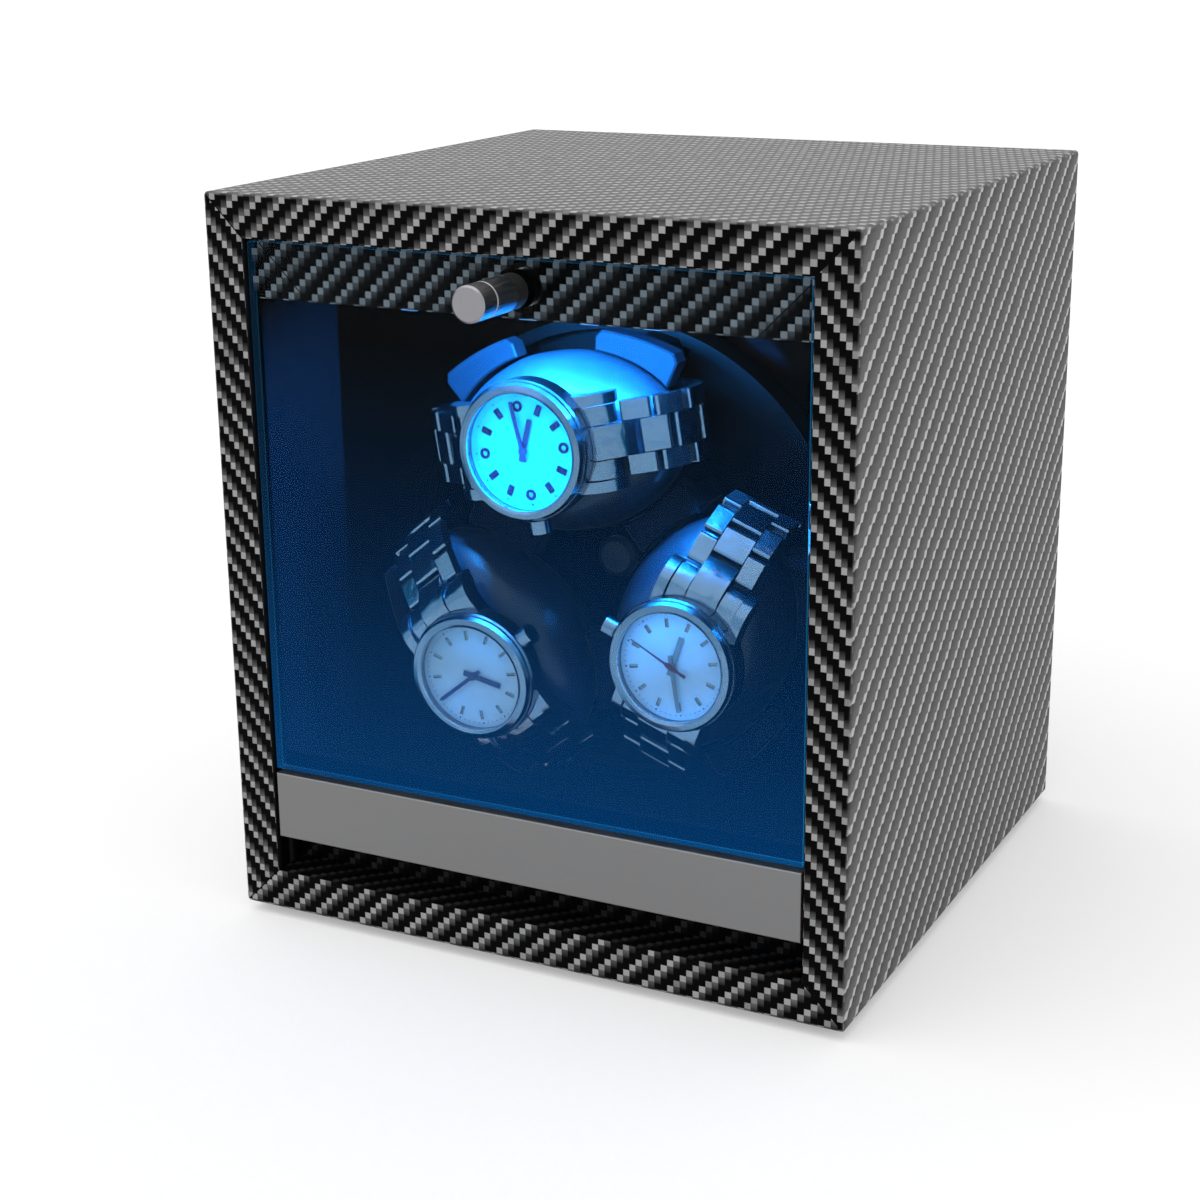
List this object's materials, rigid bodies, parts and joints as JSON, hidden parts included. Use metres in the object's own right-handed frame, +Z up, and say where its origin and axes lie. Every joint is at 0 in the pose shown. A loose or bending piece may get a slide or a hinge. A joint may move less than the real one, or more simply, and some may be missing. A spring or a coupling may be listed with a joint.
{
  "type": "watch winder box",
  "caption": "Countertop watch winder cabinet with carbon-look panels, a drop-down tinted glass door with a knob, and a motor-driven carousel holding watches on cushions.",
  "frame": {"origin": "centre of the overall footprint, on the plane the feet stand on", "axes": "+Z up, -Y out of the front where the door and knob are, +X to the right seen from the front"},
  "size_m": [0.19, 0.208, 0.213],
  "materials": {
    "carbon_panel": "board wrapped in a glossy black carbon-weave film",
    "black_board": "black painted fibreboard",
    "black_lining": "gloss black lining sheet",
    "black_plastic": "moulded, fine matt grain",
    "satin_strip": "satin anodised grey",
    "black_metal": "black anodised",
    "knob_steel": "turned and polished steel",
    "steel": "plain machined steel",
    "zinc_sheet": "zinc plated sheet",
    "magnet_plate": "nickel plated",
    "bronze": "sintered bronze",
    "gear_plastic": "natural acetal",
    "pinion_brass": "hobbed brass",
    "door_pane": "tinted, polished edges",
    "black_rubber": "soft, matt",
    "circuit_board": "green solder mask",
    "chip_black": "moulded packages",
    "light_white": "light emitting packages, blue when lit",
    "cushion_leather": "dark smooth leatherette over foam",
    "watch_steel": "polished and brushed steel",
    "watch_dial": "pale dial with steel hands",
    "watch_glass": "clear crystal"
  },
  "bodies": {
    "cabinet": {"back_cover": "black_board", "board_components": "chip_black", "board_standoffs": "black_plastic", "bottom_panel": "carbon_panel", "bracket_screws": "steel", "bracket_standoffs": "steel", "catch_magnet": "magnet_plate", "control_board": "circuit_board", "corner_blocks": "black_board", "cover_screws": "black_metal", "door_stop_pads": "black_rubber", "drive_bracket": "zinc_sheet", "floor_and_ceiling_linings": "black_lining", "gearbox": "black_plastic", "header_rail": "carbon_panel", "left_panel": "carbon_panel", "light_bar": "black_plastic", "light_emitters": "light_white", "mechanism_board": "black_board", "motor_can": "steel", "pivot_bushes": "bronze", "power_inlet": "black_plastic", "right_panel": "carbon_panel", "rocker_housing": "black_plastic", "rubber_feet": "black_rubber", "selector_body": "black_plastic", "shaft_bushes": "bronze", "side_linings": "black_lining", "toe_panel": "carbon_panel", "top_panel": "carbon_panel"},
    "door": {"door_glass": "door_pane", "door_strip": "satin_strip", "glass_carrier": "black_metal", "pivot_pins": "steel", "door_knob": "knob_steel", "knob_screw": "steel", "knob_washers": "black_rubber"},
    "carousel": {"turntable": "black_plastic", "carousel_shaft": "steel", "carousel_screw": "steel", "shaft_clip": "steel", "drive_gear": "gear_plastic", "top_cushion": "cushion_leather", "top_watch_case": "watch_steel", "top_watch_crystal": "watch_glass", "top_watch_dial": "watch_dial", "top_bracelet": "watch_steel", "left_cushion": "cushion_leather", "left_watch_case": "watch_steel", "left_watch_crystal": "watch_glass", "left_watch_dial": "watch_dial", "left_bracelet": "watch_steel", "right_cushion": "cushion_leather", "right_watch_case": "watch_steel", "right_watch_crystal": "watch_glass", "right_watch_dial": "watch_dial", "right_bracelet": "watch_steel"},
    "pinion": {"motor_pinion": "pinion_brass"},
    "rocker": {"rocker": "black_plastic"},
    "selector": {"selector_knob": "black_plastic"}
  },
  "joints": [
    {"name": "door_hinge", "type": "hinge", "parent": "cabinet", "child": "door", "pos_m": [0, -0.0752, 0.031], "axis": [1, 0, 0], "range_deg": [0, 90]},
    {"name": "carousel_spin", "type": "hinge", "parent": "cabinet", "child": "carousel", "pos_m": [0, -0.012, 0.106], "axis": [0, 1, 0], "continuous": true},
    {"name": "pinion_spin", "type": "hinge", "parent": "cabinet", "child": "pinion", "pos_m": [0, 0.008, 0.06088], "axis": [0, 1, 0], "continuous": true},
    {"name": "rocker_tilt", "type": "hinge", "parent": "cabinet", "child": "rocker", "pos_m": [0, 0.0905, 0.042], "axis": [1, 0, 0], "range_deg": [0, 16]},
    {"name": "selector_turn", "type": "hinge", "parent": "cabinet", "child": "selector", "pos_m": [0.045, 0.094, 0.042], "axis": [0, 1, 0], "range_deg": [-135, 135]}
  ],
  "couplings": [
    {"joint": "pinion_spin", "follows": "carousel_spin", "ratio": -4}
  ]
}
